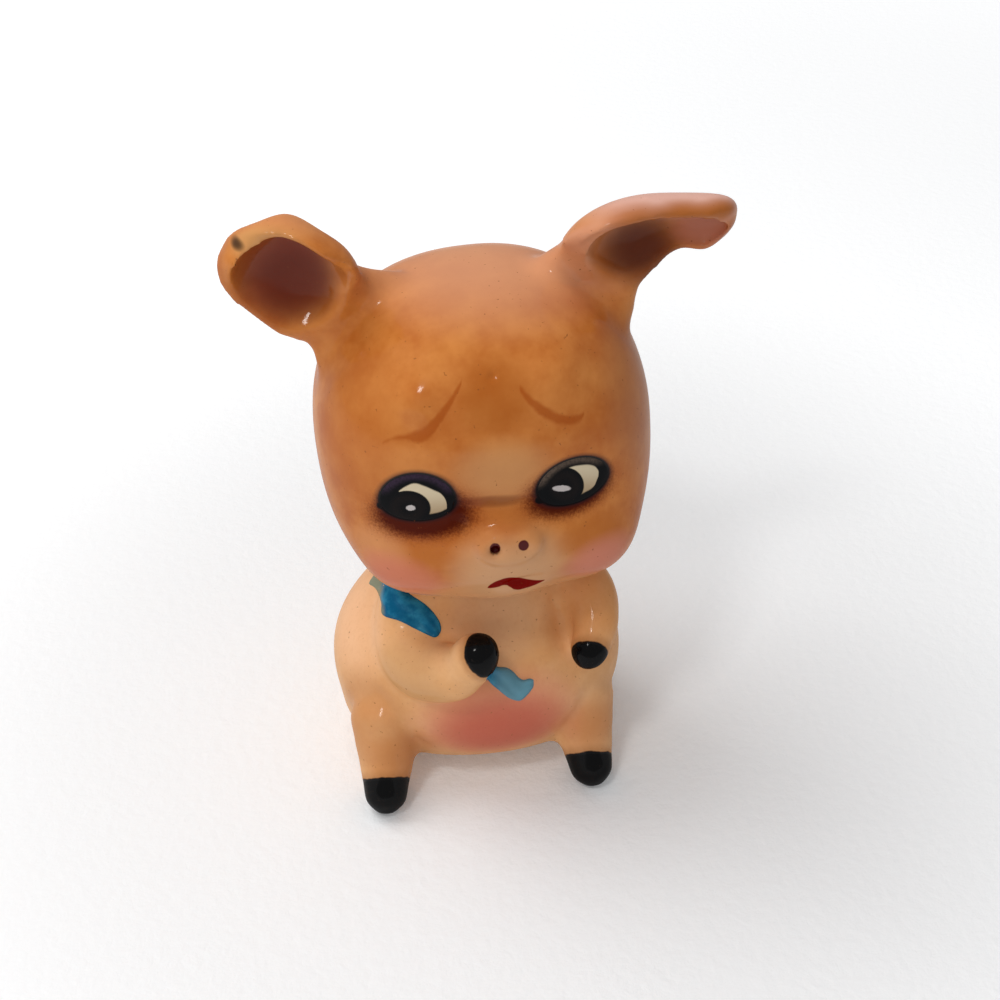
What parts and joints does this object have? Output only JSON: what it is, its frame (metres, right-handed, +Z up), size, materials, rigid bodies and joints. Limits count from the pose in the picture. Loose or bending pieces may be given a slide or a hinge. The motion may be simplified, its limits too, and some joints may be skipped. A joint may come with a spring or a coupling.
{
  "type": "pig figurine",
  "caption": "Small hollow ceramic pig ornament sitting on its rump, with cupped ears, painted eyes, black hooves and a blue handkerchief pinched in one hand.",
  "frame": {"origin": "middle of the flat seat, on the surface that the ornament stands on", "axes": "+Z up from the seat; the pig faces -Y; its own right side is -X"},
  "size_m": [0.0661, 0.0467, 0.0881],
  "materials": {
    "bisque_tan": "satin",
    "bisque_cream": "satin",
    "hoof_black": "satin",
    "cloth_blue": "satin",
    "eye_enamel": "gloss"
  },
  "bodies": {
    "root": {"body": "bisque_cream", "head": "bisque_tan", "ear_right": "bisque_tan", "ear_left": "bisque_tan", "arm_right": "bisque_cream", "arm_left": "bisque_cream", "leg_right": "bisque_cream", "leg_left": "bisque_cream", "tail": "bisque_cream", "hoof_front_right": "hoof_black", "hoof_front_left": "hoof_black", "hoof_rear_right": "hoof_black", "hoof_rear_left": "hoof_black", "handkerchief": "cloth_blue", "eye_right": "eye_enamel", "eye_left": "eye_enamel"}
  },
  "joints": []
}
